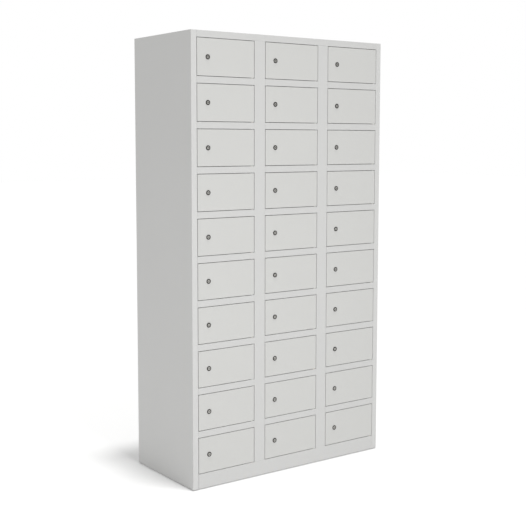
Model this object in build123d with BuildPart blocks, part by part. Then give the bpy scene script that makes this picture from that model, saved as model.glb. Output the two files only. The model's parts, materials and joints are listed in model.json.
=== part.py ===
from build123d import *

import os

# Steel parcel locker: a cabinet of folded sheet with three columns of ten small doors. Each door is a pan
# that closes flush between the rails, turns on two pins hidden at its right edge and is held shut by a cam
# lock near its left edge.
# Millimetres. +X is to the right, the doors face -Y and +Z is up. The origin is on the floor, midway
# across the width and midway between the lock faces and the back.

# Overall size
width = 1000.0
depth = 450.0
height = 1850.0
columns = 3
rows = 10

# Front frame, as seen from the front
stile = 26.0
mullion = 54.0
rail = 27.0
plinth = 65.0
gap = 2.0  # around each closed door
seam = 0.6  # between the plinth and each stile

# Folded sheet of the cabinet
sheet = 0.8
bend = 0.4  # inside radius of a fold
fold_back = 20.0  # depth of the folds behind the front face
shelf_lip = 15.0
rear_flange = 22.0
notch = 2.0  # relief where two folds would meet
fit = 0.1  # clearance between pieces that are joined

# Wall fixing through the back panel
wall_hole_radius = 4.5
wall_hole_spacing = 800.0
wall_hole_drop = 60.0  # below the cabinet's top
wall_plate_size = 50.0
wall_plate_sheet = 2.0

# Glide feet
foot_height = 3.0
foot_radius = 14.0
foot_stem_radius = 4.0
foot_stem = 9.0
foot_inset = 18.0  # from the side of the cabinet
foot_setback = 45.0  # from its front and back
bracket_sheet = 2.0
bracket_width = 32.0  # across the cabinet
bracket_length = 40.0
bracket_height = 30.0

# Door leaf
leaf_sheet = 0.8
leaf_depth = 15.0
hem = 10.0

# Door pivots
pivot_inset = 9.0  # from the leaf's right edge
pivot_depth = 5.0  # behind the front face
pin_radius = 2.0
pin_clearance = 0.05
pin_tail = 2.5  # beyond the sheet that it turns in
pin_head_radius = 3.5
pin_head = 1.5
washer_radius = 4.0

# Door stops on the floor of each compartment
stop_inset = 20.0  # from the opening's left edge
stop_width = 14.0
stop_height = 14.0
stop_foot = 12.0
stop_sheet = 1.5
buffer_size = 9.0
buffer_thickness = 3.0
buffer_clearance = 0.3

# Cam lock
lock_inset = 50.0  # from the leaf's left edge
lock_proud = 2.0
lock_head_radius = 10.0
barrel_radius = 8.0
barrel_flats = 14.0
plug_radius = 5.5
plug_head_radius = 6.5
plug_head = 1.0
plug_clearance = 0.05
keyway_width = 1.6
keyway_height = 8.0
keyway_depth = 8.0
nut_across_flats = 20.0
nut_thickness = 3.0
cam_behind_fold = 0.8
cam_thickness = 2.0
cam_width = 16.0
cam_hook = 7.0  # how far the turned cam reaches behind the frame
cam_square = 7.0
screw_radius = 2.0
screw_length = 8.0
screw_head_radius = 4.0
screw_head = 2.4

# Planes and places that follow
front = (lock_proud - depth) / 2
back = front + depth
side = width / 2
fold_end = front + fold_back
back_panel_face = back - 2 * sheet
opening_width = (width - 2 * stile - (columns - 1) * mullion) / columns
opening_height = (height - plinth - rows * rail) / rows
leaf_width = opening_width - 2 * gap
leaf_height = opening_height - 2 * gap
pivot_x = opening_width - gap - pivot_inset
lock_x = gap + lock_inset
lock_z = opening_height / 2
barrel_length = fold_back + cam_behind_fold - fit
cam_reach = lock_inset + gap + sheet + cam_hook
CORNER = (Align.MIN, Align.MIN, Align.MIN)


def opening_left(column):
    """Left edge of a column's openings; columns count from the left."""
    return -side + stile + column * (opening_width + mullion)


def opening_floor(row):
    """Bottom of a row's openings; rows count from the top."""
    return plinth + (rows - 1 - row) * (opening_height + rail)


def inner_left(column):
    """Left wall of a column's compartments."""
    return -side + sheet if column == 0 else opening_left(column) - (mullion - sheet) / 2


def inner_right(column):
    """Right wall of a column's compartments, by mirror symmetry."""
    return -inner_left(columns - 1 - column)


def folded(plane, *centre_line):
    """Section of a sheet folded along the points of its centre line."""
    with BuildSketch(plane, mode=Mode.PRIVATE) as section:
        with BuildLine():
            FilletPolyline(*centre_line, radius=bend + sheet / 2)
        trace(line_width=sheet)
    return section.sketch


def plate(low, high):
    """A rectangular block between two corners, added to the part being built."""
    size = [top - bottom for bottom, top in zip(low, high)]
    with Locations(low):
        return Box(*size, align=CORNER)


def pivot_hole(column, level):
    """A hole for a door's pin, through the sheets near a level."""
    with Locations((opening_left(column) + pivot_x, front + pivot_depth, level)):
        Cylinder(pin_radius + pin_clearance, 4 * sheet, mode=Mode.SUBTRACT)


def save(name, *pieces):
    """Write one node: a single piece, or a group of separate ones."""
    node = pieces[0] if len(pieces) == 1 else Compound(children=list(pieces))
    node.label = name
    export_step(node, f"parts/{name}.step")


os.makedirs("parts", exist_ok=True)

# --- Cabinet: outer sheets ---

# A side, its front stile and its rear flange are one folded sheet.
with BuildPart() as side_panel_left:
    extrude(
        folded(
            Plane.XY.offset(foot_height),
            (-side + stile - sheet / 2, fold_end),
            (-side + stile - sheet / 2, front + sheet / 2),
            (-side + sheet / 2, front + sheet / 2),
            (-side + sheet / 2, back - sheet / 2),
            (-side + rear_flange, back - sheet / 2),
        ),
        amount=height - foot_height,
    )
    # The top panel lies on the fold's and the flange's ends.
    with Locations((-side + sheet, front + sheet, height - sheet)):
        Box(stile, depth, sheet, align=CORNER, mode=Mode.SUBTRACT)
    # The folded edges are kept apart from the flat sheet, so that its collision shape is exact.
    for y in (fold_end, back - sheet - bend):
        split(bisect_by=Plane.XZ.offset(-y), keep=Keep.BOTH)
side_pieces = side_panel_left.part.solids()
save("side_panel_left", *side_pieces)
save("side_panel_right", *[mirror(piece, Plane.YZ) for piece in side_pieces])

# The back lies inside the rear flanges of the sides.
wall_hole_z = height - wall_hole_drop
wall_holes = [(x, back_panel_face, wall_hole_z) for x in (-wall_hole_spacing / 2, wall_hole_spacing / 2)]
with BuildPart() as back_panel:
    plate(
        (-side + sheet + bend, back_panel_face, foot_height),
        (side - sheet - bend, back - sheet, height - sheet),
    )
    with Locations(*[Location(place, (90, 0, 0)) for place in wall_holes]):
        Cylinder(wall_hole_radius, 4 * sheet, mode=Mode.SUBTRACT)
save("back_panel", back_panel.part)

with BuildPart() as wall_fixing_plates:
    with Locations(*[Location(place, (90, 0, 0)) for place in wall_holes]):
        Box(
            wall_plate_size,
            wall_plate_size,
            wall_plate_sheet,
            align=(Align.CENTER, Align.CENTER, Align.MIN),
        )
        Cylinder(wall_hole_radius, 3 * wall_plate_sheet, mode=Mode.SUBTRACT)
save("wall_fixing_plates", wall_fixing_plates.part)

# The top's front edge folds down and back again to make the top rail.
with BuildPart() as top_panel:
    extrude(
        folded(
            Plane.YZ.offset(-side + stile),
            (fold_end, height - rail + sheet / 2),
            (front + sheet / 2, height - rail + sheet / 2),
            (front + sheet / 2, height - sheet / 2),
            (fold_end, height - sheet / 2),
        ),
        amount=width - 2 * stile,
    )
    for x in (-side + sheet, side - stile):
        plate(
            (x, front + sheet + bend, height - sheet),
            (x + stile - sheet, fold_end, height),
        )
    plate((-side + sheet, fold_end, height - sheet), (side - sheet, back - sheet - bend, height))
    for x in (-side + sheet, side - 2 * sheet):
        plate(
            (x, fold_end + notch, height - shelf_lip),
            (x + sheet, back_panel_face - notch, height - sheet),
        )
    plate(
        (-side + sheet + notch, back_panel_face - sheet, height - shelf_lip),
        (side - sheet - notch, back_panel_face, height - sheet),
    )
    for column in range(columns):
        pivot_hole(column, height - rail)
save("top_panel", top_panel.part)

# --- Cabinet: inside ---

with BuildPart() as plinth_front:
    extrude(
        folded(
            Plane.YZ.offset(-side + stile + seam),
            (fold_end, plinth - sheet / 2),
            (front + sheet / 2, plinth - sheet / 2),
            (front + sheet / 2, foot_height + sheet / 2),
            (fold_end, foot_height + sheet / 2),
        ),
        amount=width - 2 * (stile + seam),
    )
    for column in range(columns):
        pivot_hole(column, plinth)
save("plinth_front", plinth_front.part)

with BuildPart() as base_panel:
    plate((-side + sheet, fold_end, plinth - sheet), (side - sheet, back_panel_face, plinth))
    for x in (-side + sheet, side - 2 * sheet):
        plate(
            (x, fold_end + notch, plinth - shelf_lip),
            (x + sheet, back_panel_face - notch, plinth - sheet),
        )
    for y in (fold_end, back_panel_face - sheet):
        plate(
            (-side + sheet + notch, y, plinth - shelf_lip),
            (side - sheet - notch, y + sheet, plinth - sheet),
        )
save("base_panel", base_panel.part)

# Each mullion is a channel with its partition standing in it.
for column, name in ((1, "left"), (2, "right")):
    edge = opening_left(column)
    with BuildPart() as mullion_post:
        extrude(
            folded(
                Plane.XY.offset(plinth),
                (edge - mullion + sheet / 2, fold_end),
                (edge - mullion + sheet / 2, front + sheet / 2),
                (edge - sheet / 2, front + sheet / 2),
                (edge - sheet / 2, fold_end),
            ),
            amount=height - rail - plinth,
        )
    save(f"mullion_{name}", mullion_post.part)

    with BuildPart() as partition:
        with BuildSketch(Plane.YZ.offset(edge - (mullion + sheet) / 2)):
            with BuildLine():
                Polyline(
                    (front + sheet, plinth),
                    (back_panel_face, plinth),
                    (back_panel_face, height - shelf_lip - fit),
                    (back_panel_face - sheet - fit, height - shelf_lip - fit),
                    (back_panel_face - sheet - fit, height - sheet),
                    (fold_end + fit, height - sheet),
                    (fold_end + fit, height - rail),
                    (front + sheet, height - rail),
                    close=True,
                )
            make_face()
        extrude(amount=sheet)
    save(f"partition_{name}", partition.part)

# A shelf is a pan whose front edge makes the rail below its row of doors.
for column, name in enumerate(("left", "middle", "right")):
    left, right = opening_left(column), opening_left(column) + opening_width
    wall_left, wall_right = inner_left(column), inner_right(column)
    top = opening_floor(0)
    with BuildPart() as shelf:
        extrude(
            folded(
                Plane.YZ.offset(left),
                (fold_end, top - rail + sheet / 2),
                (front + sheet / 2, top - rail + sheet / 2),
                (front + sheet / 2, top - sheet / 2),
                (fold_end + fit, top - sheet / 2),
            ),
            amount=opening_width,
        )
        plate((wall_left, fold_end + fit, top - sheet), (wall_right, back_panel_face, top))
        for x in (wall_left, wall_right - sheet):
            plate(
                (x, fold_end + notch, top - shelf_lip),
                (x + sheet, back_panel_face - notch, top - sheet),
            )
        plate(
            (wall_left + notch, back_panel_face - sheet, top - shelf_lip),
            (wall_right - notch, back_panel_face, top - sheet),
        )
        pivot_hole(column, top)
        pivot_hole(column, top - rail)
    levels = [opening_floor(row) - top for row in range(rows - 1)]
    save(f"shelves_{name}", *[shelf.part.moved(Location((0, 0, level))) for level in levels])

# --- Cabinet: small parts ---

# An angle inside each lower corner takes the stem of a glide foot.
foot_places = [
    (sign * (side - foot_inset), y) for y in (front + foot_setback, back - foot_setback) for sign in (-1, 1)
]
with BuildPart() as foot_bracket:
    plate(
        (-side + sheet, front + foot_setback - bracket_length / 2, foot_height),
        (-side + bracket_width, front + foot_setback + bracket_length / 2, foot_height + bracket_sheet),
    )
    plate(
        (-side + sheet, front + foot_setback - bracket_length / 2, foot_height),
        (-side + sheet + bracket_sheet, front + foot_setback + bracket_length / 2, bracket_height),
    )
    with Locations((*foot_places[0], foot_height)):
        Cylinder(foot_stem_radius + fit, 4 * bracket_sheet, mode=Mode.SUBTRACT)
front_pair = [foot_bracket.part, mirror(foot_bracket.part, Plane.YZ)]
to_the_back = Location((0, depth - 2 * foot_setback, 0))
save("foot_brackets", *front_pair, *[bracket.moved(to_the_back) for bracket in front_pair])

with BuildPart() as foot:
    Cylinder(foot_radius, foot_height, align=(Align.CENTER, Align.CENTER, Align.MIN))
    fillet(foot.edges().sort_by(Axis.Z)[0], radius=foot_height / 3)
    Cylinder(foot_stem_radius, foot_height + foot_stem, align=(Align.CENTER, Align.CENTER, Align.MIN))
save("glide_feet", *[foot.part.moved(Location((*place, 0))) for place in foot_places])

# From here on, small parts are built at the lower left front corner of an opening and moved to each one.
openings = {
    (column, row): Location((opening_left(column), front, opening_floor(row)))
    for column in range(columns)
    for row in range(rows)
}

buffer_face = leaf_depth + buffer_clearance
stop_face = buffer_face + buffer_thickness
with BuildPart() as door_stop:
    with Locations((stop_inset, stop_face, 0)):
        Box(stop_width, stop_sheet, stop_height, align=CORNER)
        Box(stop_width, stop_foot, stop_sheet, align=CORNER)
save("door_stops", *[door_stop.part.moved(place) for place in openings.values()])

with BuildPart() as door_buffer:
    with Locations((stop_inset + stop_width / 2, stop_face, gap + hem / 2)):
        Box(buffer_size, buffer_thickness, buffer_size, align=(Align.CENTER, Align.MAX, Align.CENTER))
    fillet(door_buffer.faces().sort_by(Axis.Y)[0].edges(), radius=buffer_thickness / 3)
save("door_buffers", *[door_buffer.part.moved(place) for place in openings.values()])

with BuildPart() as hinge_washer:
    with Locations((pivot_x, pivot_depth, 0)):
        Cylinder(washer_radius, gap - fit, align=(Align.CENTER, Align.CENTER, Align.MIN))
        Cylinder(pin_radius + fit, 3 * gap, mode=Mode.SUBTRACT)
save("hinge_washers", *[hinge_washer.part.moved(place) for place in openings.values()])

# --- Door ---


def barrel_outline(clearance=0.0):
    """Sketch the lock barrel's round section with its two flats."""
    Circle(barrel_radius + clearance)
    Rectangle(4 * barrel_radius, barrel_flats + 2 * clearance, mode=Mode.INTERSECT)


def behind_front(y):
    """A plane parallel to the front, with its origin on the lock's axis; extrude(-n) runs to the back."""
    return Plane((lock_x, y, lock_z), x_dir=(1, 0, 0), z_dir=(0, -1, 0))


with BuildPart() as leaf:
    plate((gap, 0, gap), (gap + leaf_width, leaf_depth, gap + leaf_height))
    fillet(leaf.faces().sort_by(Axis.Y)[0].edges(), radius=bend + leaf_sheet)
    with Locations((gap + leaf_sheet, leaf_sheet, gap + leaf_sheet)):
        Box(
            leaf_width - 2 * leaf_sheet,
            leaf_depth - 2 * leaf_sheet,
            leaf_height - 2 * leaf_sheet,
            align=CORNER,
            mode=Mode.SUBTRACT,
        )
    with Locations((gap + hem, leaf_depth / 2, gap + hem)):
        Box(leaf_width - 2 * hem, leaf_depth, leaf_height - 2 * hem, align=CORNER, mode=Mode.SUBTRACT)
    with Locations((pivot_x, pivot_depth, opening_height / 2)):
        Cylinder(pin_radius + fit, opening_height, mode=Mode.SUBTRACT)
    with BuildSketch(behind_front(0)):
        barrel_outline(fit)
    extrude(amount=-leaf_sheet, mode=Mode.SUBTRACT)

# A pin stands in the leaf's lower edge, its head inside; the upper one is the same pin turned over.
with BuildPart() as lower_pin:
    with Locations((pivot_x, pivot_depth, -sheet - pin_tail)):
        Cylinder(
            pin_radius,
            pin_tail + sheet + gap + leaf_sheet,
            align=(Align.CENTER, Align.CENTER, Align.MIN),
        )
    chamfer(lower_pin.edges().sort_by(Axis.Z)[0], length=pin_radius / 4)
    with Locations((pivot_x, pivot_depth, gap + leaf_sheet)):
        Cylinder(pin_head_radius, pin_head, align=(Align.CENTER, Align.CENTER, Align.MIN))
upper_pin = mirror(lower_pin.part, Plane.XY.offset(opening_height / 2))

# --- Cam lock ---

with BuildPart() as barrel:
    with BuildSketch(behind_front(0)):
        barrel_outline()
    extrude(amount=-barrel_length)
    with BuildSketch(behind_front(0)):
        Circle(lock_head_radius)
    extrude(amount=lock_proud)
    fillet(barrel.edges().sort_by(Axis.Y)[0], radius=lock_proud / 2)
    with BuildSketch(behind_front(barrel_length)):
        Circle(plug_radius + plug_clearance)
    extrude(amount=barrel_length + lock_proud, mode=Mode.SUBTRACT)
    with BuildSketch(behind_front(-lock_proud)):
        Circle(plug_head_radius + plug_clearance)
    extrude(amount=-plug_head - plug_clearance - fit, mode=Mode.SUBTRACT)

with BuildPart() as lock_nut:
    with BuildSketch(behind_front(leaf_sheet)):
        RegularPolygon(nut_across_flats / 2, 6, major_radius=False)
        Circle(barrel_radius + fit, mode=Mode.SUBTRACT)
    extrude(amount=-nut_thickness)

# The plug's head is sunk in the barrel's; its square end carries the cam just behind the barrel.
cam_face = barrel_length + fit
with BuildPart() as plug:
    with BuildSketch(behind_front(fit - lock_proud)):
        Circle(plug_head_radius)
    extrude(amount=-plug_head)
    with BuildSketch(behind_front(fit - lock_proud)):
        Circle(plug_radius)
    extrude(amount=fit - lock_proud - cam_face)
    with BuildSketch(behind_front(cam_face)):
        Rectangle(cam_square, cam_square)
    extrude(amount=-cam_thickness + fit)
    with BuildSketch(behind_front(-lock_proud)):
        Rectangle(keyway_height, keyway_width)
    extrude(amount=-keyway_depth, mode=Mode.SUBTRACT)
    with BuildSketch(behind_front(cam_face + cam_thickness)):
        Circle(screw_radius + fit)
    extrude(amount=screw_length + fit, mode=Mode.SUBTRACT)

# The cam hangs down when the lock is open, and turns to the left behind the frame's fold.
with BuildPart() as cam:
    with BuildSketch(behind_front(cam_face)):
        with Locations((0, (cam_width / 2 - cam_reach) / 2)):
            SlotOverall(cam_reach + cam_width / 2, cam_width, rotation=90)
        Rectangle(cam_square + 2 * fit, cam_square + 2 * fit, mode=Mode.SUBTRACT)
    extrude(amount=-cam_thickness)

with BuildPart() as cam_screw:
    with BuildSketch(behind_front(cam_face + cam_thickness)):
        Circle(screw_head_radius)
    extrude(amount=-screw_head)
    fillet(cam_screw.edges().sort_by(Axis.Y)[-1], radius=screw_head / 3)
    with BuildSketch(behind_front(cam_face + cam_thickness)):
        Circle(screw_radius)
    extrude(amount=screw_length)

# --- Doors in their openings ---

# Each door carries its pins and its lock. In the left column, what turns in the lock is a node of its own.
door_pieces = [leaf.part, lower_pin.part, upper_pin, barrel.part, lock_nut.part]
turning_pieces = [plug.part, cam.part, cam_screw.part]
for (column, row), place in openings.items():
    own_lock_node = column == 0
    pieces = door_pieces if own_lock_node else door_pieces + turning_pieces
    save(f"door_c{column + 1}_r{row + 1:02}", *[piece.moved(place) for piece in pieces])
    if own_lock_node:
        save(f"lock_c{column + 1}_r{row + 1:02}", *[piece.moved(place) for piece in turning_pieces])
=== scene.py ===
# %% [markdown]
# # A steel parcel locker
# The cabinet is folded from thin steel sheet and powder coated a light grey. Thirty small doors close flush
# between its rails, each with a round cam lock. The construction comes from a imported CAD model, which this
# script loads as a fixed frame. What it adds is the finish of every surface, finely made doors and locks,
# the weld marks on the back, and a bright studio round the whole.

import json
import math

import bmesh
import bpy
from mathutils import Matrix, Vector

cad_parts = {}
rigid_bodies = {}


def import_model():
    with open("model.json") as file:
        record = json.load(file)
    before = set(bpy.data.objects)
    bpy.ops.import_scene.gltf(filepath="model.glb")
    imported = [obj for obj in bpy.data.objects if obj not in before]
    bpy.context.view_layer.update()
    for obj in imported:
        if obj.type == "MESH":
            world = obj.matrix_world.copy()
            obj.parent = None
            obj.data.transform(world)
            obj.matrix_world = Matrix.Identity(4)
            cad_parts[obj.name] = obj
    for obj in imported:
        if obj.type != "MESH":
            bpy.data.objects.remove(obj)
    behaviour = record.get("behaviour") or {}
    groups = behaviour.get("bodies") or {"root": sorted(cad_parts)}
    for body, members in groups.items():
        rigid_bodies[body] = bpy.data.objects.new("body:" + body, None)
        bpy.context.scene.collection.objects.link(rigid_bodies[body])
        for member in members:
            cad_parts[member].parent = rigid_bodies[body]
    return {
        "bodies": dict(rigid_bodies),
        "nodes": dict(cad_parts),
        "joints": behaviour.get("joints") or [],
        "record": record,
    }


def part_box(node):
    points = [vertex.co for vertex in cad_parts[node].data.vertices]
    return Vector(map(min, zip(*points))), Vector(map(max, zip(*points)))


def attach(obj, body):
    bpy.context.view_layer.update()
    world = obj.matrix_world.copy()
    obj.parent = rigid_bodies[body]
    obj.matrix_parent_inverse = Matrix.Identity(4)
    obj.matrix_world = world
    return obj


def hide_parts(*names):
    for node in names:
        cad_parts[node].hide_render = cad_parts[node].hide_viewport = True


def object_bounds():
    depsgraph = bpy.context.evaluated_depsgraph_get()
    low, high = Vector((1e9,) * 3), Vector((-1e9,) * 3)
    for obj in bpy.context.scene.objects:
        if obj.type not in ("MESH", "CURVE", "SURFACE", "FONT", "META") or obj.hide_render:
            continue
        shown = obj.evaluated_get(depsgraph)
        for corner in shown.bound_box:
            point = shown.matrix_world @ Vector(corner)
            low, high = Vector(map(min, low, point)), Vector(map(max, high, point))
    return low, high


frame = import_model()
cad_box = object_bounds()
record = frame["record"]
joints = {joint["name"]: joint for joint in frame["joints"]}
mm = 0.001
print("cabinet", [round(value / mm) for value in cad_box[1] - cad_box[0]], "mm")

# %% [markdown]
# ## Sizes of the doors and locks
# A door's sheet, hem and pins are too small to read from the frame's boxes, so they are named here. Where
# each door lies is read from the frame: its box gives the leaf's width and the pins' tips, its joint gives
# the pivot, and the first lock's joint gives the lock's axis. One door is modelled in its own corner
# coordinates, and every other door is the same one set in its opening.

# %% Sizes
leaf_sheet = 0.8 * mm
leaf_depth = 15 * mm
leaf_fold = 1.2 * mm  # outer radius of the folds
hem = 10 * mm
pin_radius = 2 * mm
pin_head_radius = 3.5 * mm
pin_head = 1.5 * mm
pin_reach = 5.3 * mm  # from the leaf's edge to the pin's tip
lock_proud = 2 * mm
lock_head_radius = 10 * mm
barrel_radius = 8 * mm
plug_radius = 5.5 * mm
plug_head_radius = 6.5 * mm
keyway = Vector((8 * mm, 8 * mm, 1.6 * mm))
nut_across_flats = 20 * mm
nut_thickness = 3 * mm
cam_thickness = 2 * mm
cam_width = 16 * mm
screw_head_radius = 4 * mm
screw_head = 2.4 * mm

door_low, door_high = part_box("door_c1_r01")
lock_low, lock_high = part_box("lock_c1_r01")
corner = Vector((door_low.x, door_low.y + lock_proud, door_low.z + pin_reach))
leaf_width = door_high.x - door_low.x
leaf_height = door_high.z - door_low.z - 2 * pin_reach
pivot = Vector(joints["door_c1_r01_hinge"]["pos_m"]) - corner
lock_axis = Vector(joints["lock_c1_r01_cam"]["pos_m"]) - corner
barrel_end = door_high.y - corner.y
cam_face = lock_high.y - corner.y - screw_head - cam_thickness
cam_reach = lock_axis.z + corner.z - lock_low.z
column_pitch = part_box("door_c2_r01")[0].x - door_low.x
row_pitch = door_low.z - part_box("door_c1_r02")[0].z
columns = round((cad_box[1].x - cad_box[0].x) / column_pitch)
rows = round((cad_box[1].z - cad_box[0].z) / row_pitch)
inwards = Vector((0, 1, 0))  # from the front into the cabinet, along every lock
print(f"{columns} columns of {rows}, leaf {leaf_width / mm:.1f} x {leaf_height / mm:.1f} mm")

# %% [markdown]
# ## Colour and node helpers
# Colours are written as the sRGB hex values that a paint chart or a picker gives. Shaders work in linear
# light, so one function converts them. A second function adds a node, gives it its settings and links its
# inputs, so that a material reads as a list of what it is made of. Every pattern lies on Object
# coordinates, which are metres in the cabinet's own frame, so its scale is one over a real spacing.


# %% Helpers for materials
colour_a, colour_b, colour_out = 6, 7, 2  # a Mix node's sockets when it mixes colours


def linear(hex_value, alpha=1.0):
    """An sRGB hex colour as linear RGBA."""
    parts = [int(hex_value[i : i + 2], 16) / 255 for i in (1, 3, 5)]
    return (*[p / 12.92 if p <= 0.04045 else ((p + 0.055) / 1.055) ** 2.4 for p in parts], alpha)


def add_node(tree, kind, settings=None, inputs=None):
    """Add a node; an input's value is a number, a colour or another node's output socket."""
    made = tree.nodes.new(kind)
    for name, value in (settings or {}).items():
        setattr(made, name, value)
    for name, value in (inputs or {}).items():
        if isinstance(value, bpy.types.NodeSocket):
            tree.links.new(value, made.inputs[name])
        else:
            made.inputs[name].default_value = value
    return made


def new_material(name):
    """An empty material with its Principled shader and its output linked."""
    material = bpy.data.materials.new(name)
    material.use_nodes = True
    tree = material.node_tree
    tree.nodes.clear()
    shader = add_node(tree, "ShaderNodeBsdfPrincipled")
    add_node(tree, "ShaderNodeOutputMaterial", inputs={"Surface": shader.outputs["BSDF"]})
    place = add_node(tree, "ShaderNodeTexCoord").outputs["Object"]
    return material, tree, shader, place


print("a middle grey of #808080 is", round(linear("#808080")[0], 3), "in linear light")

# %% [markdown]
# ## Powder coat
# The cabinet is polyester powder coat, sprayed dry and baked. The powder melts into a skin with a very
# fine orange peel: soft bumps a millimetre or two apart. From across a room they only soften the
# reflections, so they are drawn a little coarser here, and a broad cloudiness stands for the slight
# differences of film thickness. One function makes the tones: the frame and the doors are coated in
# separate batches and differ by a shade, and the big sides get a lighter tone, painted light on their less
# lit faces.


# %% Powder coat
def powder_coat(name, colour, cloud):
    """Satin powder coat of one batch; cloud is the darker tone of its thinner patches."""
    material, tree, shader, place = new_material(name)
    peel_spacing = 3 * mm  # the real peel is about 1.5 mm, too fine to show
    cloud_spacing = 300 * mm
    film = add_node(
        tree,
        "ShaderNodeTexNoise",
        inputs={"Vector": place, "Scale": 1 / cloud_spacing, "Detail": 3.0, "Roughness": 0.5},
    )
    tone = add_node(
        tree,
        "ShaderNodeMix",
        {"data_type": "RGBA"},
        {0: film.outputs["Fac"], colour_a: linear(cloud), colour_b: linear(colour)},
    )
    tree.links.new(tone.outputs[colour_out], shader.inputs["Base Color"])
    peel = add_node(
        tree,
        "ShaderNodeTexNoise",
        inputs={"Vector": place, "Scale": 1 / peel_spacing, "Detail": 1.0},
    )
    gloss = add_node(
        tree,
        "ShaderNodeMapRange",
        inputs={"Value": peel.outputs["Fac"], "To Min": 0.36, "To Max": 0.46},
    )
    tree.links.new(gloss.outputs["Result"], shader.inputs["Roughness"])
    bump = add_node(
        tree,
        "ShaderNodeBump",
        inputs={"Height": peel.outputs["Fac"], "Strength": 0.25, "Distance": 0.06 * mm},
    )
    tree.links.new(bump.outputs["Normal"], shader.inputs["Normal"])
    shader.inputs["IOR"].default_value = 1.5  # polyester resin
    return material


# The sides' lighter tone is painted light: it brightens the side panels, which the lamps light less than the
# front.
side_coat_painted_lighter = powder_coat("powder_coat_sides_painted_lighter", "#c5c5c4", "#c2c2c1")
frame_coat = powder_coat("powder_coat_frame", "#c2c2c1", "#bfbfbe")
door_coat = powder_coat("powder_coat_doors", "#c1c1bf", "#bfbfbd")
print("coats:", side_coat_painted_lighter.name, frame_coat.name, door_coat.name)

# %% [markdown]
# ## Nickel plate
# The locks are die-cast zinc with a nickel plate. The plate follows the casting's fine polish, which shows
# as rings round the axis. A lock's head is coloured near black, a painted dark reflection and shade, and its
# plug is its own bright nickel, so a lock reads as a dark ring round a light slotted face. A wave texture
# draws rings by rule. One material could be made for each lock's centre, but all locks stand at even
# pitches, so the coordinates repeat with them and one material serves all.


# %% Nickel plate
def around_lock(tree, place):
    """Coordinates measured from the nearest lock's axis, since the locks stand at even pitches."""
    axis = corner + lock_axis
    from_first = add_node(tree, "ShaderNodeVectorMath", {"operation": "SUBTRACT"}, {0: place, 1: axis})
    half = Vector((column_pitch / 2, 1, row_pitch / 2))
    wrapped = add_node(
        tree,
        "ShaderNodeVectorMath",
        {"operation": "WRAP"},
        {0: from_first.outputs[0], 1: half, 2: -half},
    )
    return wrapped.outputs[0]


def turned_nickel(name, colour, dark, roughness):
    """Nickel plate polished in fine rings round each lock's axis."""
    material, tree, shader, place = new_material(name)
    ring_spacing = 0.5 * mm  # the polish is finer, but would not show
    sine_period = math.tau / 20  # the wave node's own period at scale 1
    rings = add_node(
        tree,
        "ShaderNodeTexWave",
        {"wave_type": "RINGS", "rings_direction": "Y"},
        {
            "Vector": around_lock(tree, place),
            "Scale": sine_period / ring_spacing,
            "Distortion": 0.6,
            "Detail": 2.0,
        },
    )
    tone = add_node(
        tree,
        "ShaderNodeMix",
        {"data_type": "RGBA"},
        {0: rings.outputs["Fac"], colour_a: linear(dark), colour_b: linear(colour)},
    )
    tree.links.new(tone.outputs[colour_out], shader.inputs["Base Color"])
    wear = add_node(
        tree,
        "ShaderNodeMapRange",
        inputs={"Value": rings.outputs["Fac"], "To Min": roughness - 0.05, "To Max": roughness + 0.08},
    )
    tree.links.new(wear.outputs["Result"], shader.inputs["Roughness"])
    bump = add_node(
        tree,
        "ShaderNodeBump",
        inputs={"Height": rings.outputs["Fac"], "Strength": 0.16, "Distance": 0.02 * mm},
    )
    tree.links.new(bump.outputs["Normal"], shader.inputs["Normal"])
    shader.inputs["Metallic"].default_value = 1.0
    return material


# The head's near-black colour is a painted dark reflection and shade; the plug's light colour is its own.
lock_head_painted_dark = turned_nickel("nickel_lock_head_painted_dark", "#403f3d", "#31302f", 0.34)
lock_plug_metal = turned_nickel("nickel_lock_plug", "#b3b2ae", "#9c9b97", 0.28)
print("nickel on", lock_head_painted_dark.name, "and", lock_plug_metal.name)

# %% [markdown]
# ## Zinc plate
# Pins, nuts, cams and screws are plain steel with a thin zinc plate. It is greyer and rougher than nickel,
# and mottled where the passivation took unevenly. A smooth Voronoi texture gives such soft, rounded
# patches, where noise would give streaks.


# %% Zinc plate
def zinc_plate(name):
    """Zinc-plated steel with a mottled passivation."""
    material, tree, shader, place = new_material(name)
    mottle_spacing = 4 * mm  # the real mottling is about this coarse
    mottle = add_node(
        tree,
        "ShaderNodeTexVoronoi",
        {"feature": "SMOOTH_F1"},
        {"Vector": place, "Scale": 1 / mottle_spacing, "Smoothness": 0.6},
    )
    tone = add_node(
        tree,
        "ShaderNodeMix",
        {"data_type": "RGBA"},
        {0: mottle.outputs["Distance"], colour_a: linear("#b2b4b3"), colour_b: linear("#9b9c9a")},
    )
    tree.links.new(tone.outputs[colour_out], shader.inputs["Base Color"])
    haze = add_node(
        tree,
        "ShaderNodeMapRange",
        inputs={"Value": mottle.outputs["Distance"], "To Min": 0.28, "To Max": 0.45},
    )
    tree.links.new(haze.outputs["Result"], shader.inputs["Roughness"])
    shader.inputs["Metallic"].default_value = 1.0
    return material


zinc_steel = zinc_plate("zinc_plated_steel")
print("zinc on", zinc_steel.name)

# %% [markdown]
# ## Rubber and moulded plastics
# The buffers are black rubber, dull and slightly dusty. The hinge washers are natural nylon, which is
# waxy and lets a little light in. The glides are black polythene with the dry look of a moulded part.
# All three come out of a mould whose grain they copy, so one function with a grain size makes them.


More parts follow.
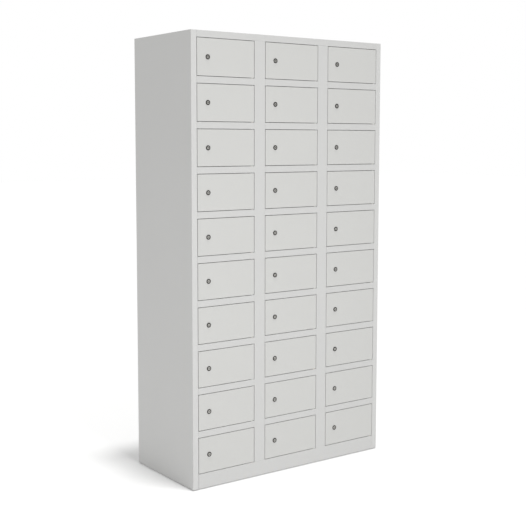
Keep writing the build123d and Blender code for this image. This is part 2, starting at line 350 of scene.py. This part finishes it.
# %% Rubber and plastics
def moulded(name, colour, dust, grain, smooth, rough, subsurface=0.0):
    """A moulded piece whose grain shows as small differences of tone and roughness."""
    material, tree, shader, place = new_material(name)
    speck = add_node(
        tree,
        "ShaderNodeTexNoise",
        inputs={"Vector": place, "Scale": 1 / grain, "Detail": 4.0},
    )
    tone = add_node(
        tree,
        "ShaderNodeMix",
        {"data_type": "RGBA"},
        {0: speck.outputs["Fac"], colour_a: linear(colour), colour_b: linear(dust)},
    )
    tree.links.new(tone.outputs[colour_out], shader.inputs["Base Color"])
    gloss = add_node(
        tree,
        "ShaderNodeMapRange",
        inputs={"Value": speck.outputs["Fac"], "To Min": smooth, "To Max": rough},
    )
    tree.links.new(gloss.outputs["Result"], shader.inputs["Roughness"])
    bump = add_node(
        tree,
        "ShaderNodeBump",
        inputs={"Height": speck.outputs["Fac"], "Strength": 0.2, "Distance": 0.05 * mm},
    )
    tree.links.new(bump.outputs["Normal"], shader.inputs["Normal"])
    shader.inputs["Subsurface Weight"].default_value = subsurface
    shader.inputs["Subsurface Scale"].default_value = 1 * mm
    return material


buffer_rubber = moulded("rubber_buffer", "#1d1d1d", "#2c2c2b", 0.8 * mm, 0.7, 0.9)
washer_nylon = moulded("nylon_washer", "#dedbd0", "#d2cfc3", 1.5 * mm, 0.35, 0.5, subsurface=0.2)
glide_plastic = moulded("polythene_glide", "#181818", "#232323", 1.2 * mm, 0.45, 0.6)
print("moulded:", buffer_rubber.name, washer_nylon.name, glide_plastic.name)

# %% [markdown]
# ## Finishing the CAD pieces
# The cabinet's sheets already have their true shape, folds included, so they stay as they are and only
# take their finish. A name's first words tell which finish a piece has; all others have the frame's coat.

# %% Finish the CAD pieces
finishes = {
    "side_panel": side_coat_painted_lighter,
    "glide_feet": glide_plastic,
    "door_buffers": buffer_rubber,
    "hinge_washers": washer_nylon,
}
for name in record["behaviour"]["bodies"]["cabinet"]:
    finish = next((coat for start, coat in finishes.items() if name.startswith(start)), frame_coat)
    node_object = frame["nodes"][name]
    node_object.data.materials.clear()
    node_object.data.materials.append(finish)

# %% [markdown]
# ## Turned shapes
# Pins, barrels, plugs and screws are turned on a lathe. Blender's Screw modifier could turn a profile, but
# rings of vertices joined to each other say exactly where every face is, and they make the folded door as
# well. Every mesh is in the door's own coordinates, with its normals outwards.


# %% Rings and turned shapes
def finished(shape, name, material):
    """Turn a bmesh into a mesh with outward faces and one material."""
    bmesh.ops.remove_doubles(shape, verts=shape.verts, dist=1e-6)
    bmesh.ops.recalc_face_normals(shape, faces=shape.faces)
    mesh = bpy.data.meshes.new(name)
    shape.to_mesh(mesh)
    shape.free()
    mesh.materials.append(material)
    return mesh


def bridge(shape, rings):
    """Join each ring of vertices to the next with quads."""
    for one, two in zip(rings, rings[1:]):
        for i in range(len(one)):
            j = (i + 1) % len(one)
            shape.faces.new((one[i], one[j], two[j], two[i]))


def turned(name, profile, centre, axis, material, steps=40, bored=False):
    """A solid of revolution: profile is (radius, distance along the axis) from end to end.

    A bored one has its profile closed into a loop round its wall instead of two flat ends.
    """
    shape = bmesh.new()
    turn = Vector((0, 0, 1)).rotation_difference(axis).to_matrix()
    rings = []
    for radius, along in profile:
        ring = []
        for i in range(steps):
            angle = math.tau * i / steps
            point = Vector((radius * math.cos(angle), radius * math.sin(angle), along))
            ring.append(shape.verts.new(centre + turn @ point))
        rings.append(ring)
    if bored:
        bridge(shape, [*rings, rings[0]])
    else:
        bridge(shape, rings)
        shape.faces.new(rings[0])
        shape.faces.new(rings[-1])
    return finished(shape, name, material)


print("a turned shape has", turned.__defaults__[0], "steps round, unless it is small or shows")

# %% [markdown]
# ## Plates
# The nut and the cam are pressed from flat sheet. A plate is its outline at two depths, joined by its edge.
# A Bevel modifier could soften the edge; two more outlines, drawn in a little, do it without a modifier.


# %% Plates
def rounded(length_x, length_z, radius, steps=6):
    """Corner points of a rounded rectangle that starts at the origin."""
    points = []
    for corner_x, corner_z, start in ((1, 1, 0), (0, 1, 90), (0, 0, 180), (1, 0, 270)):
        centre_x = radius + corner_x * (length_x - 2 * radius)
        centre_z = radius + corner_z * (length_z - 2 * radius)
        for i in range(steps + 1):
            angle = math.radians(start + 90 * i / steps)
            points.append((centre_x + radius * math.cos(angle), centre_z + radius * math.sin(angle)))
    return points


def plate(name, outline, low, high, material, edge=0.2 * mm):
    """A flat plate between two depths, its outline's edges softened on both faces."""
    shape = bmesh.new()
    centre = sum((Vector(point) for point in outline), Vector((0, 0))) / len(outline)
    sections = ((low, edge), (low + edge, 0), (high - edge, 0), (high, edge))
    rings = []
    for depth, inset in sections:
        ring = []
        for point in outline:
            offset = Vector(point) - centre
            shrunk = centre + offset * (1 - inset / max(offset.length, edge))
            ring.append(shape.verts.new((shrunk.x, depth, shrunk.y)))
        rings.append(ring)
    bridge(shape, rings)
    shape.faces.new(rings[0])
    shape.faces.new(rings[-1])
    return finished(shape, name, material)


print("a rounded corner has", len(rounded(1, 1, 0.1)) // 4, "points")

# %% [markdown]
# ## Holes and slots
# Bores, the keyway and the screw's cross are cut by tools, and a Boolean modifier is the same idea: a
# second mesh is taken away from the first. The exact solver is used, because some faces lie very close.


# %% Holes and slots
def carved(mesh, cutters):
    """Cut blocks, each a (centre, size) pair, or whole meshes out of a mesh."""
    body = bpy.data.objects.new("body", mesh)
    bpy.context.scene.collection.objects.link(body)
    tools = []
    for cutter in cutters:
        if isinstance(cutter, bpy.types.Mesh):
            block = cutter
        else:
            shape = bmesh.new()
            bmesh.ops.create_cube(shape, size=1.0)
            shape.transform(Matrix.Translation(cutter[0]) @ Matrix.Diagonal((*cutter[1], 1)))
            block = bpy.data.meshes.new("cutter")
            shape.to_mesh(block)
            shape.free()
        tool = bpy.data.objects.new("tool", block)
        bpy.context.scene.collection.objects.link(tool)
        cut = body.modifiers.new("cut", "BOOLEAN")
        cut.operation = "DIFFERENCE"
        cut.solver = "EXACT"
        cut.object = tool
        tools.append(tool)
    result = bpy.data.meshes.new_from_object(body.evaluated_get(bpy.context.evaluated_depsgraph_get()))
    for used in (body, *tools):
        bpy.data.objects.remove(used)
    return result


print("holes are cut by", carved.__name__, "with the exact solver")

# %% [markdown]
# ## Door leaf
# The leaf is a shallow pan: its four edges are folded back and hemmed inwards so that no raw edge shows.
# Following the section from the middle of the front round to the inside gives a list of insets and
# depths. A rounded rectangle at each of them, joined to the next, makes the whole pan with its true
# sheet thickness. The lock's hole is cut afterwards.


# %% Door leaf
def pan_section():
    """(inset from the outer edge, depth) from the front face, round the fold and hem, to the inside."""
    fold_steps = 4
    section = []
    for i in range(fold_steps + 1):
        angle = math.radians(90 * i / fold_steps)
        section.append((leaf_fold * (1 - math.sin(angle)), leaf_fold * (1 - math.cos(angle))))
    for i in range(fold_steps + 1):
        angle = math.radians(90 * i / fold_steps)
        inset = leaf_fold * (1 - math.cos(angle))
        section.append((inset, leaf_depth - leaf_fold * (1 - math.sin(angle))))
    inside = leaf_sheet
    section += [(hem, leaf_depth), (hem, leaf_depth - inside)]
    section += [(inside, leaf_depth - inside), (inside, inside)]
    return section


def door_leaf():
    """The pan with its hole for the lock."""
    corner_radius = 0.8 * mm
    sharpest = 0.05 * mm  # a corner's radius can't shrink to nothing
    shape = bmesh.new()
    rings = []
    for inset, depth in pan_section():
        radius = max(corner_radius - inset, sharpest) if inset < hem else corner_radius
        outline = rounded(leaf_width - 2 * inset, leaf_height - 2 * inset, radius)
        rings.append([shape.verts.new((x + inset, depth, z + inset)) for x, z in outline])
    bridge(shape, rings)
    shape.faces.new(rings[0])
    shape.faces.new(rings[-1])
    pan = finished(shape, "leaf", door_coat)
    hole = turned(
        "hole",
        [(barrel_radius, -leaf_sheet), (barrel_radius, 2 * leaf_sheet)],
        lock_axis,
        inwards,
        door_coat,
    )
    return carved(pan, [hole])


leaf_mesh = door_leaf()
print("leaf", len(leaf_mesh.polygons), "faces")

# %% [markdown]
# ## Hinge pins
# Each door turns on two short headed pins. The heads are inside the pan, so with the door shut nothing of
# the hinge shows. A pin could be two cylinders pushed into each other, but a real one is a single turned
# part, so one profile makes it: its head, its shank and a chamfered tip.


# %% Hinge pins
def hinge_pin(name, end, outward):
    """A pin whose head sits inside the leaf's edge at height end and points outward, up or down."""
    chamfer = 0.5 * mm
    head_edge = 0.3 * mm
    profile = [
        (pin_head_radius - head_edge, -leaf_sheet - pin_head),
        (pin_head_radius, -leaf_sheet - pin_head + head_edge),
        (pin_head_radius, -leaf_sheet),
        (pin_radius, -leaf_sheet),
        (pin_radius, pin_reach - chamfer),
        (pin_radius - chamfer, pin_reach),
    ]
    centre = Vector((pivot.x, pivot.y, end))
    return turned(name, profile, centre, Vector((0, 0, outward)), zinc_steel, steps=20)


pin_meshes = [hinge_pin("lower_pin", 0, -1), hinge_pin("upper_pin", leaf_height, 1)]
print(f"pins {(leaf_sheet + pin_head + pin_reach) / mm:.1f} mm long")

# %% [markdown]
# ## Running a Geometry Nodes tree
# Geometry Nodes make the parts that repeat. A tree needs an object to work on, so a carrier gets it as a
# modifier, with each input set by its socket's identifier. The evaluated result is copied to a plain mesh
# and the carrier is removed, so that no modifier is left on a finished piece.


# %% Run a tree
def made_by(tree, values, name, start_mesh=None):
    """Run a tree with its named inputs and return the mesh that it makes."""
    carrier = bpy.data.objects.new(name, start_mesh or bpy.data.meshes.new(name))
    bpy.context.scene.collection.objects.link(carrier)
    modifier = carrier.modifiers.new("nodes", "NODES")
    modifier.node_group = tree
    sockets = {item.name: item.identifier for item in tree.interface.items_tree if item.in_out == "INPUT"}
    for socket_name, value in values.items():
        modifier[sockets[socket_name]] = value
    evaluated = carrier.evaluated_get(bpy.context.evaluated_depsgraph_get())
    mesh = bpy.data.meshes.new_from_object(evaluated)
    bpy.data.objects.remove(carrier)
    mesh.name = name
    return mesh


print("a tree's result becomes a plain mesh by", made_by.__name__)

# %% [markdown]
# ## Thread of the lock barrel
# The barrel behind the door is threaded for its nut. A true helix could be swept, but at this size nobody
# sees it climb, and a stack of equal ridges looks the same with far fewer faces. That is a rule, so
# Geometry Nodes make it: a line of points along the axis, a ring on each, then one real mesh with its
# material.


# %% Thread by Geometry Nodes
def ring_stack_tree():
    """Rings of one radius and thickness, stacked along Y from a start point."""
    tree = bpy.data.node_groups.new("ring_stack", "GeometryNodeTree")
    face = tree.interface
    face.new_socket("Geometry", in_out="INPUT", socket_type="NodeSocketGeometry")
    for name in ("Radius", "Thickness", "Pitch"):
        face.new_socket(name, in_out="INPUT", socket_type="NodeSocketFloat")
    face.new_socket("Count", in_out="INPUT", socket_type="NodeSocketInt")
    face.new_socket("Start", in_out="INPUT", socket_type="NodeSocketVector")
    face.new_socket("Material", in_out="INPUT", socket_type="NodeSocketMaterial")
    face.new_socket("Geometry", in_out="OUTPUT", socket_type="NodeSocketGeometry")
    given = add_node(tree, "NodeGroupInput").outputs
    step = add_node(tree, "ShaderNodeCombineXYZ", inputs={"Y": given["Pitch"]})
    line = add_node(
        tree,
        "GeometryNodeMeshLine",
        inputs={"Count": given["Count"], "Start Location": given["Start"], "Offset": step.outputs[0]},
    )
    circle = add_node(
        tree,
        "GeometryNodeCurvePrimitiveCircle",
        inputs={"Resolution": 32, "Radius": given["Radius"]},
    )
    section = add_node(
        tree,
        "GeometryNodeCurvePrimitiveCircle",
        inputs={"Resolution": 4, "Radius": given["Thickness"]},
    )
    ring = add_node(
        tree,
        "GeometryNodeCurveToMesh",
        inputs={"Curve": circle.outputs["Curve"], "Profile Curve": section.outputs["Curve"]},
    )
    placed = add_node(
        tree,
        "GeometryNodeInstanceOnPoints",
        inputs={
            "Points": line.outputs["Mesh"],
            "Instance": ring.outputs["Mesh"],
            "Rotation": (math.pi / 2, 0, 0),
        },
    )
    real = add_node(
        tree,
        "GeometryNodeRealizeInstances",
        inputs={"Geometry": placed.outputs["Instances"]},
    )
    painted = add_node(
        tree,
        "GeometryNodeSetMaterial",
        inputs={"Geometry": real.outputs["Geometry"], "Material": given["Material"]},
    )
    add_node(tree, "NodeGroupOutput", inputs={"Geometry": painted.outputs["Geometry"]})
    return tree


ridge_depth = 0.45 * mm
thread_pitch = 1.2 * mm  # the real thread's is 1 mm
thread_start = leaf_sheet + nut_thickness + 0.8 * mm
thread_end = barrel_end - 0.6 * mm
thread_turns = int((thread_end - thread_start) / thread_pitch)
thread_mesh = made_by(
    ring_stack_tree(),
    {
        "Radius": barrel_radius - 0.35 * mm,
        "Thickness": ridge_depth,
        "Pitch": thread_pitch,
        "Count": thread_turns,
        "Start": lock_axis + Vector((0, thread_start, 0)),
        "Material": lock_head_painted_dark,
    },
    "thread",
)
print(thread_turns, "ridges on a barrel")

# %% [markdown]
# ## Barrel and nut
# The barrel is a zinc casting: a flat head with a rounded rim on the front, and a long body that passes
# through the door and is held by a nut from inside. Both are turned shapes. The barrel's profile is a loop
# that also follows its bore, so the plug stands in a real hole. The nut is a hexagonal plate with a hole.


# %% Barrel and nut
def lock_barrel():
    """The head with its rounded rim, and the body behind it, bored for the plug."""
    rim = 1 * mm
    play = 0.05 * mm  # between the plug and its bore
    seat = 1.2 * mm - lock_proud  # where the bore widens for the plug's head
    profile = [(plug_head_radius + play, play - lock_proud)]
    profile.append((plug_head_radius + 0.35 * mm, -lock_proud))
    for i in range(5):
        angle = math.radians(90 * i / 4)
        radius = lock_head_radius - rim * (1 - math.sin(angle))
        profile.append((radius, -lock_proud + rim * (1 - math.cos(angle))))
    profile += [
        (lock_head_radius, 0),
        (barrel_radius, 0),
        (barrel_radius, thread_start - 0.4 * mm),  # a run-out before the thread
        (barrel_radius - ridge_depth, thread_start),
        (barrel_radius - ridge_depth, barrel_end - 0.3 * mm),
        (barrel_radius - 0.8 * mm, barrel_end),  # the end's chamfer
        (plug_radius + play, barrel_end),
        (plug_radius + play, seat),
        (plug_head_radius + play, seat),
    ]
    return turned("barrel", profile, lock_axis, inwards, lock_head_painted_dark, steps=48, bored=True)


def lock_nut():
    """A hexagon nut on the barrel, its edges softened."""
    corners = [math.radians(60 * i + 30) for i in range(6)]
    radius = nut_across_flats / 2 / math.cos(math.pi / 6)
    centre_x, centre_z = lock_axis.x, lock_axis.z
    outline = [(centre_x + radius * math.cos(a), centre_z + radius * math.sin(a)) for a in corners]
    nut = plate("nut", outline, leaf_sheet, leaf_sheet + nut_thickness, zinc_steel, edge=0.4 * mm)
    bore_radius = barrel_radius + 0.1 * mm
    bore_profile = [(bore_radius, 0), (bore_radius, 2 * nut_thickness)]
    bore = turned("bore", bore_profile, lock_axis, inwards, zinc_steel)
    return carved(nut, [bore])


barrel_mesh = lock_barrel()
nut_mesh = lock_nut()
print("barrel", len(barrel_mesh.polygons), "faces, nut", len(nut_mesh.polygons))

# %% [markdown]
# ## Plug, cam and screw
# The plug is what the key turns. Its face is sunk a hair inside the head and slotted for the key, and its
# back end carries the cam, held by a screw. In the left column these three turn with their own joint. The
# plug and the screw's domed head are turned and the cam is a plate, and the keyway and the screw's cross
# are cut out as real slots, so that they throw real shadows.


# %% Plug, cam and screw
def lock_plug():
    """The plug with its chamfered face and its keyway."""
    sunk = 0.1 * mm
    face = sunk - lock_proud
    head_end = face + 1 * mm
    chamfer_width, chamfer_depth = 0.5 * mm, 0.3 * mm
    profile = [
        (plug_head_radius - chamfer_width, face),
        (plug_head_radius, face + chamfer_depth),
        (plug_head_radius, head_end),
        (plug_radius, head_end),
        (plug_radius, cam_face),
    ]
    body = turned("plug", profile, lock_axis, inwards, lock_plug_metal, steps=48)
    slot = (lock_axis + Vector((0, face, 0)), (keyway.x, 2 * keyway.y, keyway.z))
    return carved(body, [slot])


def lock_cam():
    """A pressed strip with round ends, hanging from the plug's axis."""
    half = cam_width / 2
    outline = []
    for end, start in ((0, 0), (cam_reach - half, 180)):
        for i in range(13):
            angle = math.radians(start + 180 * i / 12)
            x = lock_axis.x + half * math.cos(angle)
            outline.append((x, lock_axis.z - end + half * math.sin(angle)))
    return plate("cam", outline, cam_face, cam_face + cam_thickness, zinc_steel)


def cam_screw():
    """A pan head screw with a cross recess."""
    base = cam_face + cam_thickness
    wall = 0.9 * mm  # the head's upright edge, below its dome
    cross_length, cross_width, cross_depth = 4.4 * mm, 0.9 * mm, 1.2 * mm
    profile = [(screw_head_radius, base), (screw_head_radius, base + wall)]
    for i in range(1, 5):
        angle = math.radians(90 * i / 4)
        radius = screw_head_radius * (0.55 + 0.45 * math.cos(angle))
        profile.append((radius, base + wall + (screw_head - wall) * math.sin(angle)))
    head = turned("screw", profile, lock_axis, inwards, zinc_steel, steps=24)
    middle = lock_axis + Vector((0, base + screw_head, 0))
    level = (middle, (cross_length, 2 * cross_depth, cross_width))
    upright = (middle, (cross_width, 2 * cross_depth, cross_length))
    return carved(head, [level, upright])


turning_meshes = [lock_plug(), lock_cam(), cam_screw()]
print("turning with the key:", ", ".join(mesh.name for mesh in turning_meshes))

# %% [markdown]
# ## One door from its parts
# A door swings as one piece, so its meshes are joined into one that keeps each part's own material. Two
# doors are needed: a whole one, and one without its plug for the left column, where the plug and its cam
# are a piece of their own that turns.


# %% Join the parts
def joined(meshes, name):
    """Join meshes into one that keeps each one's material."""
    shape = bmesh.new()
    result = bpy.data.meshes.new(name)
    for mesh in meshes:
        material = next(one for one in mesh.materials if one)
        if material.name not in result.materials:
            result.materials.append(material)
        first = len(shape.faces)
        shape.from_mesh(mesh)
        shape.faces.ensure_lookup_table()
        for face in shape.faces[first:]:
            face.material_index = result.materials.find(material.name)
    shape.to_mesh(result)
    shape.free()
    return result


fixed_meshes = [leaf_mesh, *pin_meshes, barrel_mesh, thread_mesh, nut_mesh]
plain_door = joined(fixed_meshes, "door_without_plug")
whole_door = joined([*fixed_meshes, *turning_meshes], "door_with_plug")
turning_lock = joined(turning_meshes, "turning_lock")
print(len(whole_door.polygons), "faces in a door with its lock")

# %% [markdown]
# ## A tree that moves a door to its opening
# All doors are alike, and each stands one pitch further along. A copy of the object could be moved, but a
# finished piece has its place in its mesh, so a small tree moves the modelled door's points by its column
# and row. The door comes in with its materials in their slots, so the tree's Set Material only renews the
# first slot's finish.


# %% Opening tree
def opening_tree():
    """Move the door that is handed in to the opening of its column and row."""
    tree = bpy.data.node_groups.new("set_in_opening", "GeometryNodeTree")
    face = tree.interface
    face.new_socket("Geometry", in_out="INPUT", socket_type="NodeSocketGeometry")
    face.new_socket("First corner", in_out="INPUT", socket_type="NodeSocketVector")
    for name in ("Column pitch", "Row pitch"):
        face.new_socket(name, in_out="INPUT", socket_type="NodeSocketFloat")
    for name in ("Column", "Row"):
        face.new_socket(name, in_out="INPUT", socket_type="NodeSocketInt")
    face.new_socket("First finish", in_out="INPUT", socket_type="NodeSocketMaterial")
    face.new_socket("Geometry", in_out="OUTPUT", socket_type="NodeSocketGeometry")
    given = add_node(tree, "NodeGroupInput").outputs
    across = add_node(
        tree,
        "ShaderNodeMath",
        {"operation": "MULTIPLY"},
        {0: given["Column pitch"], 1: given["Column"]},
    )
    down = add_node(
        tree,
        "ShaderNodeMath",
        {"operation": "MULTIPLY"},
        {0: given["Row pitch"], 1: given["Row"]},
    )
    below = add_node(tree, "ShaderNodeMath", {"operation": "MULTIPLY"}, {0: down.outputs[0], 1: -1.0})
    shift = add_node(tree, "ShaderNodeCombineXYZ", inputs={"X": across.outputs[0], "Z": below.outputs[0]})
    place = add_node(
        tree,
        "ShaderNodeVectorMath",
        {"operation": "ADD"},
        {0: given["First corner"], 1: shift.outputs[0]},
    )
    moved = add_node(
        tree,
        "GeometryNodeTransform",
        inputs={"Geometry": given["Geometry"], "Translation": place.outputs[0]},
    )
    real = add_node(
        tree,
        "GeometryNodeRealizeInstances",
        inputs={"Geometry": moved.outputs["Geometry"]},
    )
    slot_index = add_node(tree, "GeometryNodeInputMaterialIndex").outputs[0]
    in_first_slot = add_node(tree, "ShaderNodeMath", {"operation": "LESS_THAN"}, {0: slot_index, 1: 0.5})
    painted = add_node(
        tree,
        "GeometryNodeSetMaterial",
        inputs={
            "Geometry": real.outputs["Geometry"],
            "Selection": in_first_slot.outputs[0],
            "Material": given["First finish"],
        },
    )
    add_node(tree, "NodeGroupOutput", inputs={"Geometry": painted.outputs["Geometry"]})
    return tree


opening = opening_tree()
print(len(opening.nodes), "nodes set a door in its opening")

# %% [markdown]
# ## Setting the doors in their openings
# Each body that moves gets one real mesh. A door rides on its own body, and in the left column the plug and
# cam ride on the lock's body, so that they turn without the door.


# %% Set the doors and locks
def set_in_opening(model, name, column, row, body):
    """Make a body's piece from the modelled door or lock, and put it in its opening."""
    values = {
        "First corner": corner,
        "Column pitch": column_pitch,
        "Row pitch": row_pitch,
        "Column": column,
        "Row": row,
        "First finish": model.materials[0],
    }
    mesh = made_by(opening, values, name, start_mesh=model)
    piece = bpy.data.objects.new(name, mesh)
    bpy.context.scene.collection.objects.link(piece)
    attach(piece, body)
    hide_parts(body)
    return piece


pieces = []
for column in range(columns):
    for row in range(rows):
        place_name = f"c{column + 1}_r{row + 1:02}"
        own_lock = f"lock_{place_name}" in frame["bodies"]
        door = plain_door if own_lock else whole_door
        body = f"door_{place_name}"
        pieces.append(set_in_opening(door, f"leaf_{place_name}", column, row, body))
        if own_lock:
            body = f"lock_{place_name}"
            name = f"cam_{place_name}"
            pieces.append(set_in_opening(turning_lock, name, column, row, body))
print(len(pieces), "moving pieces, from", pieces[0].name, "to", pieces[-1].name)

# %% [markdown]
# ## Spot welds
# The back panel is spot welded to the rear edge of every shelf. The electrodes leave
# shallow round dents in the sheet, each with a low rim that the coat softens but does not hide. They stand
# in straight lines at one spacing, so Geometry Nodes set one small ring, the rim, on a grid of points.


# %% Weld tree
def weld_tree():
    """A grid of flat rings lying on a wall that faces along Y."""
    tree = bpy.data.node_groups.new("weld_marks", "GeometryNodeTree")
    face = tree.interface
    for name in ("Width", "Height", "Radius", "Rise"):
        face.new_socket(name, in_out="INPUT", socket_type="NodeSocketFloat")
    for name in ("Across", "Up"):
        face.new_socket(name, in_out="INPUT", socket_type="NodeSocketInt")
    face.new_socket("Centre", in_out="INPUT", socket_type="NodeSocketVector")
    face.new_socket("Material", in_out="INPUT", socket_type="NodeSocketMaterial")
    face.new_socket("Geometry", in_out="OUTPUT", socket_type="NodeSocketGeometry")
    given = add_node(tree, "NodeGroupInput").outputs
    grid = add_node(
        tree,
        "GeometryNodeMeshGrid",
        inputs={
            "Size X": given["Width"],
            "Size Y": given["Height"],
            "Vertices X": given["Across"],
            "Vertices Y": given["Up"],
        },
    )
    upright = add_node(
        tree,
        "GeometryNodeTransform",
        inputs={
            "Geometry": grid.outputs["Mesh"],
            "Translation": given["Centre"],
            "Rotation": (math.pi / 2, 0, 0),
        },
    )
    outer = add_node(
        tree,
        "GeometryNodeCurvePrimitiveCircle",
        inputs={"Resolution": 20, "Radius": given["Radius"]},
    )
    section = add_node(
        tree,
        "GeometryNodeCurvePrimitiveCircle",
        inputs={"Resolution": 8, "Radius": given["Rise"]},
    )
    ring = add_node(
        tree,
        "GeometryNodeCurveToMesh",
        inputs={"Curve": outer.outputs["Curve"], "Profile Curve": section.outputs["Curve"]},
    )
    placed = add_node(
        tree,
        "GeometryNodeInstanceOnPoints",
        inputs={
            "Points": upright.outputs["Geometry"],
            "Instance": ring.outputs["Mesh"],
            "Rotation": (math.pi / 2, 0, 0),
        },
    )
    real = add_node(
        tree,
        "GeometryNodeRealizeInstances",
        inputs={"Geometry": placed.outputs["Instances"]},
    )
    painted = add_node(
        tree,
        "GeometryNodeSetMaterial",
        inputs={"Geometry": real.outputs["Geometry"], "Material": given["Material"]},
    )
    add_node(tree, "NodeGroupOutput", inputs={"Geometry": painted.outputs["Geometry"]})
    return tree


welds = weld_tree()
print(len(welds.nodes), "nodes set the welds")

# %% [markdown]
# ## Rows of welds
# The welder marks one row for each shelf, at an even spacing from edge to edge. The shelves' places follow
# from the doors', because every shelf lies just under its row.


# %% Rows of welds
def weld_marks(name, width, height, across, up, centre, radius=3.6 * mm, rise=0.6 * mm):
    """A cabinet piece of across by up weld marks round a centre."""
    values = {
        "Width": width,
        "Height": height,
        "Across": across,
        "Up": up,
        "Centre": centre,
        "Radius": radius,
        "Rise": rise,
        "Material": frame_coat,
    }
    mesh = made_by(welds, values, name)
    piece = bpy.data.objects.new(name, mesh)
    bpy.context.scene.collection.objects.link(piece)
    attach(piece, "cabinet")
    return piece


weld_spacing = 90 * mm
weld_margin = 20 * mm
shelf_drop = 13 * mm  # from a leaf's lower edge to the middle of its shelf's rear lip
back_low, back_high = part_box("back_panel")
weld_width = back_high.x - back_low.x - 2 * weld_margin
across = round(weld_width / weld_spacing)
shelf_lines = rows - 1
weld_height = (shelf_lines - 1) * row_pitch
weld_centre = Vector((0, back_high.y, corner.z - weld_height / 2 - shelf_drop))
weld_marks("shelf_welds", weld_width, weld_height, across, shelf_lines, weld_centre)
print(across * shelf_lines, "welds on the back")

# %% [markdown]
# ## Camera
# The camera stands to the left of the cabinet, at three quarters of its height, with a long lens as used
# for products, so the verticals stay nearly parallel. Tilting it down alone would centre the cabinet, but
# the more it tilts the more the verticals lean, so a slight shift of the lens does part of it.

# %% Camera
camera_place = Vector((-2.615, -3.582, 1.410))
camera_yaw = math.radians(35.53)
camera_pitch = math.radians(-5.53)
camera_data = bpy.data.cameras.new("camera")
camera_data.sensor_width = 36.0
camera_data.lens = 68.7
camera_data.shift_x = 0.0247
camera_data.shift_y = -0.0437
camera = bpy.data.objects.new("camera", camera_data)
bpy.context.scene.collection.objects.link(camera)
looking = Vector(
    (
        math.sin(camera_yaw) * math.cos(camera_pitch),
        math.cos(camera_yaw) * math.cos(camera_pitch),
        math.sin(camera_pitch),
    )
)
camera.location = camera_place
camera.rotation_mode = "QUATERNION"
camera.rotation_quaternion = looking.to_track_quat("-Z", "Y")
bpy.context.scene.camera = camera
print(f"camera {camera_place.length:.1f} m from the cabinet's foot, lens {camera_data.lens:.1f} mm")

# %% [markdown]
# ## White room and floor
# The room is all white to the eye, but its walls light the cabinet only dimly. One way to get that is a
# big white box with dimmed walls; a world that shows itself white to the camera and lights with less is
# simpler and has no corners. The floor is a pale table that glows very slightly, as a lit table for
# packshots does, so that it stays white and only the space right beside the cabinet turns grey.

# %% Room and floor
scene = bpy.context.scene
scene.view_settings.view_transform = "Standard"
world = bpy.data.worlds.new("white_room")
world.use_nodes = True
tree = world.node_tree
tree.nodes.clear()
seen = add_node(tree, "ShaderNodeBackground", inputs={"Color": linear("#ffffff"), "Strength": 1.0})
lighting = add_node(tree, "ShaderNodeBackground", inputs={"Color": linear("#fffffe"), "Strength": 0.655})
path = add_node(tree, "ShaderNodeLightPath")
chosen = add_node(
    tree,
    "ShaderNodeMixShader",
    inputs={0: path.outputs["Is Camera Ray"], 1: lighting.outputs[0], 2: seen.outputs[0]},
)
add_node(tree, "ShaderNodeOutputWorld", inputs={"Surface": chosen.outputs[0]})
scene.world = world

floor_reach = 30  # metres from the cabinet to the floor's edge
shape = bmesh.new()
bmesh.ops.create_grid(shape, x_segments=1, y_segments=1, size=floor_reach)
floor_mesh = bpy.data.meshes.new("floor")
shape.to_mesh(floor_mesh)
shape.free()
floor = bpy.data.objects.new("floor", floor_mesh)
scene.collection.objects.link(floor)
table, tree, shader, _ = new_material("lit_white_table")
shader.inputs["Base Color"].default_value = linear("#e6e6e6")
shader.inputs["Roughness"].default_value = 0.9
shader.inputs["Specular IOR Level"].default_value = 0.0
shader.inputs["Emission Color"].default_value = linear("#ffffff")
shader.inputs["Emission Strength"].default_value = 0.1
floor_mesh.materials.append(table)
print("room light", round(lighting.inputs["Strength"].default_value, 3), "floor", 2 * floor_reach, "m wide")

# %% [markdown]
# ## Lamps
# A high lamp, a little to the front and the right, makes the soft shadow beside the cabinet. It is a sun,
# because a sun is as strong on every part of a tall object, and its angle sets how soft the shadow's edge
# is. A tall strip of light in front of the left half lights the doors, a little less towards the right.


# %% Lamps
def strip_light(name, place, aim, width, height, power):
    """A rectangular lamp at a place, turned to its aim, that the camera doesn't see."""
    lamp_data = bpy.data.lights.new(name, "AREA")
    lamp_data.shape = "RECTANGLE"
    lamp_data.size = width
    lamp_data.size_y = height
    lamp_data.energy = power
    lamp = bpy.data.objects.new(name, lamp_data)
    bpy.context.scene.collection.objects.link(lamp)
    lamp.location = place
    lamp.rotation_mode = "QUATERNION"
    lamp.rotation_quaternion = (Vector(aim) - Vector(place)).to_track_quat("-Z", "Y")
    lamp.visible_camera = False
    return lamp


high_lamp = bpy.data.lights.new("high_lamp", "SUN")
high_lamp.energy = 1.62
high_lamp.angle = math.radians(7)
lamp = bpy.data.objects.new("high_lamp", high_lamp)
scene.collection.objects.link(lamp)
lamp.rotation_mode = "QUATERNION"
high_lamp_direction = Vector((-0.045, 0.12, -1.0))
lamp.rotation_quaternion = high_lamp_direction.to_track_quat("-Z", "Y")
strip_place = (-0.6, -2.9, 1.1)
strip_aim = (-0.1, 0, 1.0)
strip_light("door_strip", strip_place, strip_aim, width=0.5, height=3.6, power=34)
